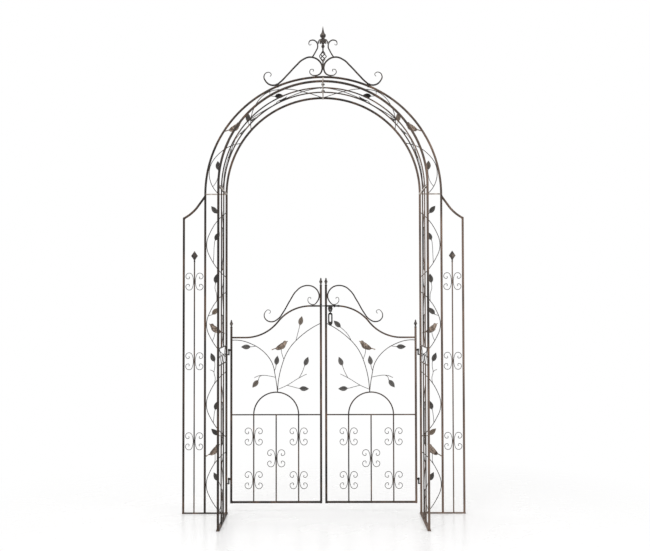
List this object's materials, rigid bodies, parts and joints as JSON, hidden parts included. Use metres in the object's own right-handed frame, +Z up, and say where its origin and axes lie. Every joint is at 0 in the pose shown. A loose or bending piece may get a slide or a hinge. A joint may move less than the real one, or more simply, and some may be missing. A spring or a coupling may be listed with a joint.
{
  "type": "garden arch with gate",
  "caption": "Antique-finish metal rose arch with trellis side panels, round roof, side wings, a crest and a latched double garden gate.",
  "frame": {"origin": "on the ground, in the middle of the footprint", "axes": "+X across the passage, to the right when seen from the front; +Y from the front posts to the gate plane; +Z up"},
  "size_m": [1.54, 0.428, 2.668],
  "materials": {
    "tube": "dark antique brown paint on steel tube and bar, rubbed to copper on the edges",
    "wire": "dark antique brown paint on bent round wire, satin",
    "leaf_metal": "dark antique paint on pressed sheet steel, satin",
    "cast_ornament": "dark antique paint on cast metal, satin with rubbed high places",
    "hardware": "near-black paint on steel hardware, satin"
  },
  "bodies": {
    "arch": {"left_front_post": "tube", "left_back_post": "tube", "right_front_post": "tube", "right_back_post": "tube", "band_posts": "tube", "side_rails": "tube", "side_bars": "tube", "side_scrolls": "wire", "side_vines": "wire", "side_leaves": "leaf_metal", "ground_bars": "tube", "spring_flats": "tube", "crown_flats": "tube", "panel_fasteners": "hardware", "spigots": "hardware", "front_hoops": "tube", "back_hoops": "tube", "middle_hoops": "tube", "outer_hoops": "tube", "roof_vines": "wire", "roof_leaves": "leaf_metal", "band_vines": "wire", "band_leaves": "leaf_metal", "band_birds": "cast_ornament", "wing_posts": "tube", "wing_bars": "tube", "wing_spears": "cast_ornament", "wing_top_rails": "tube", "wing_scrolls": "wire", "crest_scrolls": "wire", "crest_finial": "cast_ornament", "hinge_hooks": "hardware"},
    "left_gate": {"gate_left_hinge_stile": "tube", "gate_left_lock_stile": "tube", "gate_left_rails": "tube", "gate_left_top_rail": "tube", "gate_left_bars": "tube", "gate_left_scrolls": "wire", "gate_left_crest_scroll": "wire", "gate_left_finials": "cast_ornament", "gate_left_hinge_eyes": "hardware", "gate_left_vine": "wire", "gate_left_leaves": "leaf_metal", "gate_left_bird": "cast_ornament", "latch_keeper": "hardware"},
    "right_gate": {"gate_right_hinge_stile": "tube", "gate_right_lock_stile": "tube", "gate_right_rails": "tube", "gate_right_top_rail": "tube", "gate_right_bars": "tube", "gate_right_scrolls": "wire", "gate_right_crest_scroll": "wire", "gate_right_finials": "cast_ornament", "gate_right_hinge_eyes": "hardware", "gate_right_vine": "wire", "gate_right_leaves": "leaf_metal", "gate_right_bird": "cast_ornament", "latch_guides": "hardware"},
    "slide_bolt": {"latch_bolt": "hardware"},
    "pull_handle": {"latch_handle": "hardware"}
  },
  "joints": [
    {"name": "left_gate_swing", "type": "hinge", "parent": "arch", "child": "left_gate", "pos_m": [-0.5165, 0.2, 0], "axis": [0, 0, -1], "range_deg": [-100, 85]},
    {"name": "right_gate_swing", "type": "hinge", "parent": "arch", "child": "right_gate", "pos_m": [0.5165, 0.2, 0], "axis": [0, 0, 1], "range_deg": [-100, 85]},
    {"name": "bolt_slide", "type": "slide", "parent": "right_gate", "child": "slide_bolt", "axis": [-1, 0, 0], "range_m": [-0.008, 0.011]},
    {"name": "handle_swing", "type": "hinge", "parent": "slide_bolt", "child": "pull_handle", "pos_m": [0.0375, 0.187, 1.1], "axis": [-1, 0, 0], "range_deg": [-3, 90]}
  ]
}
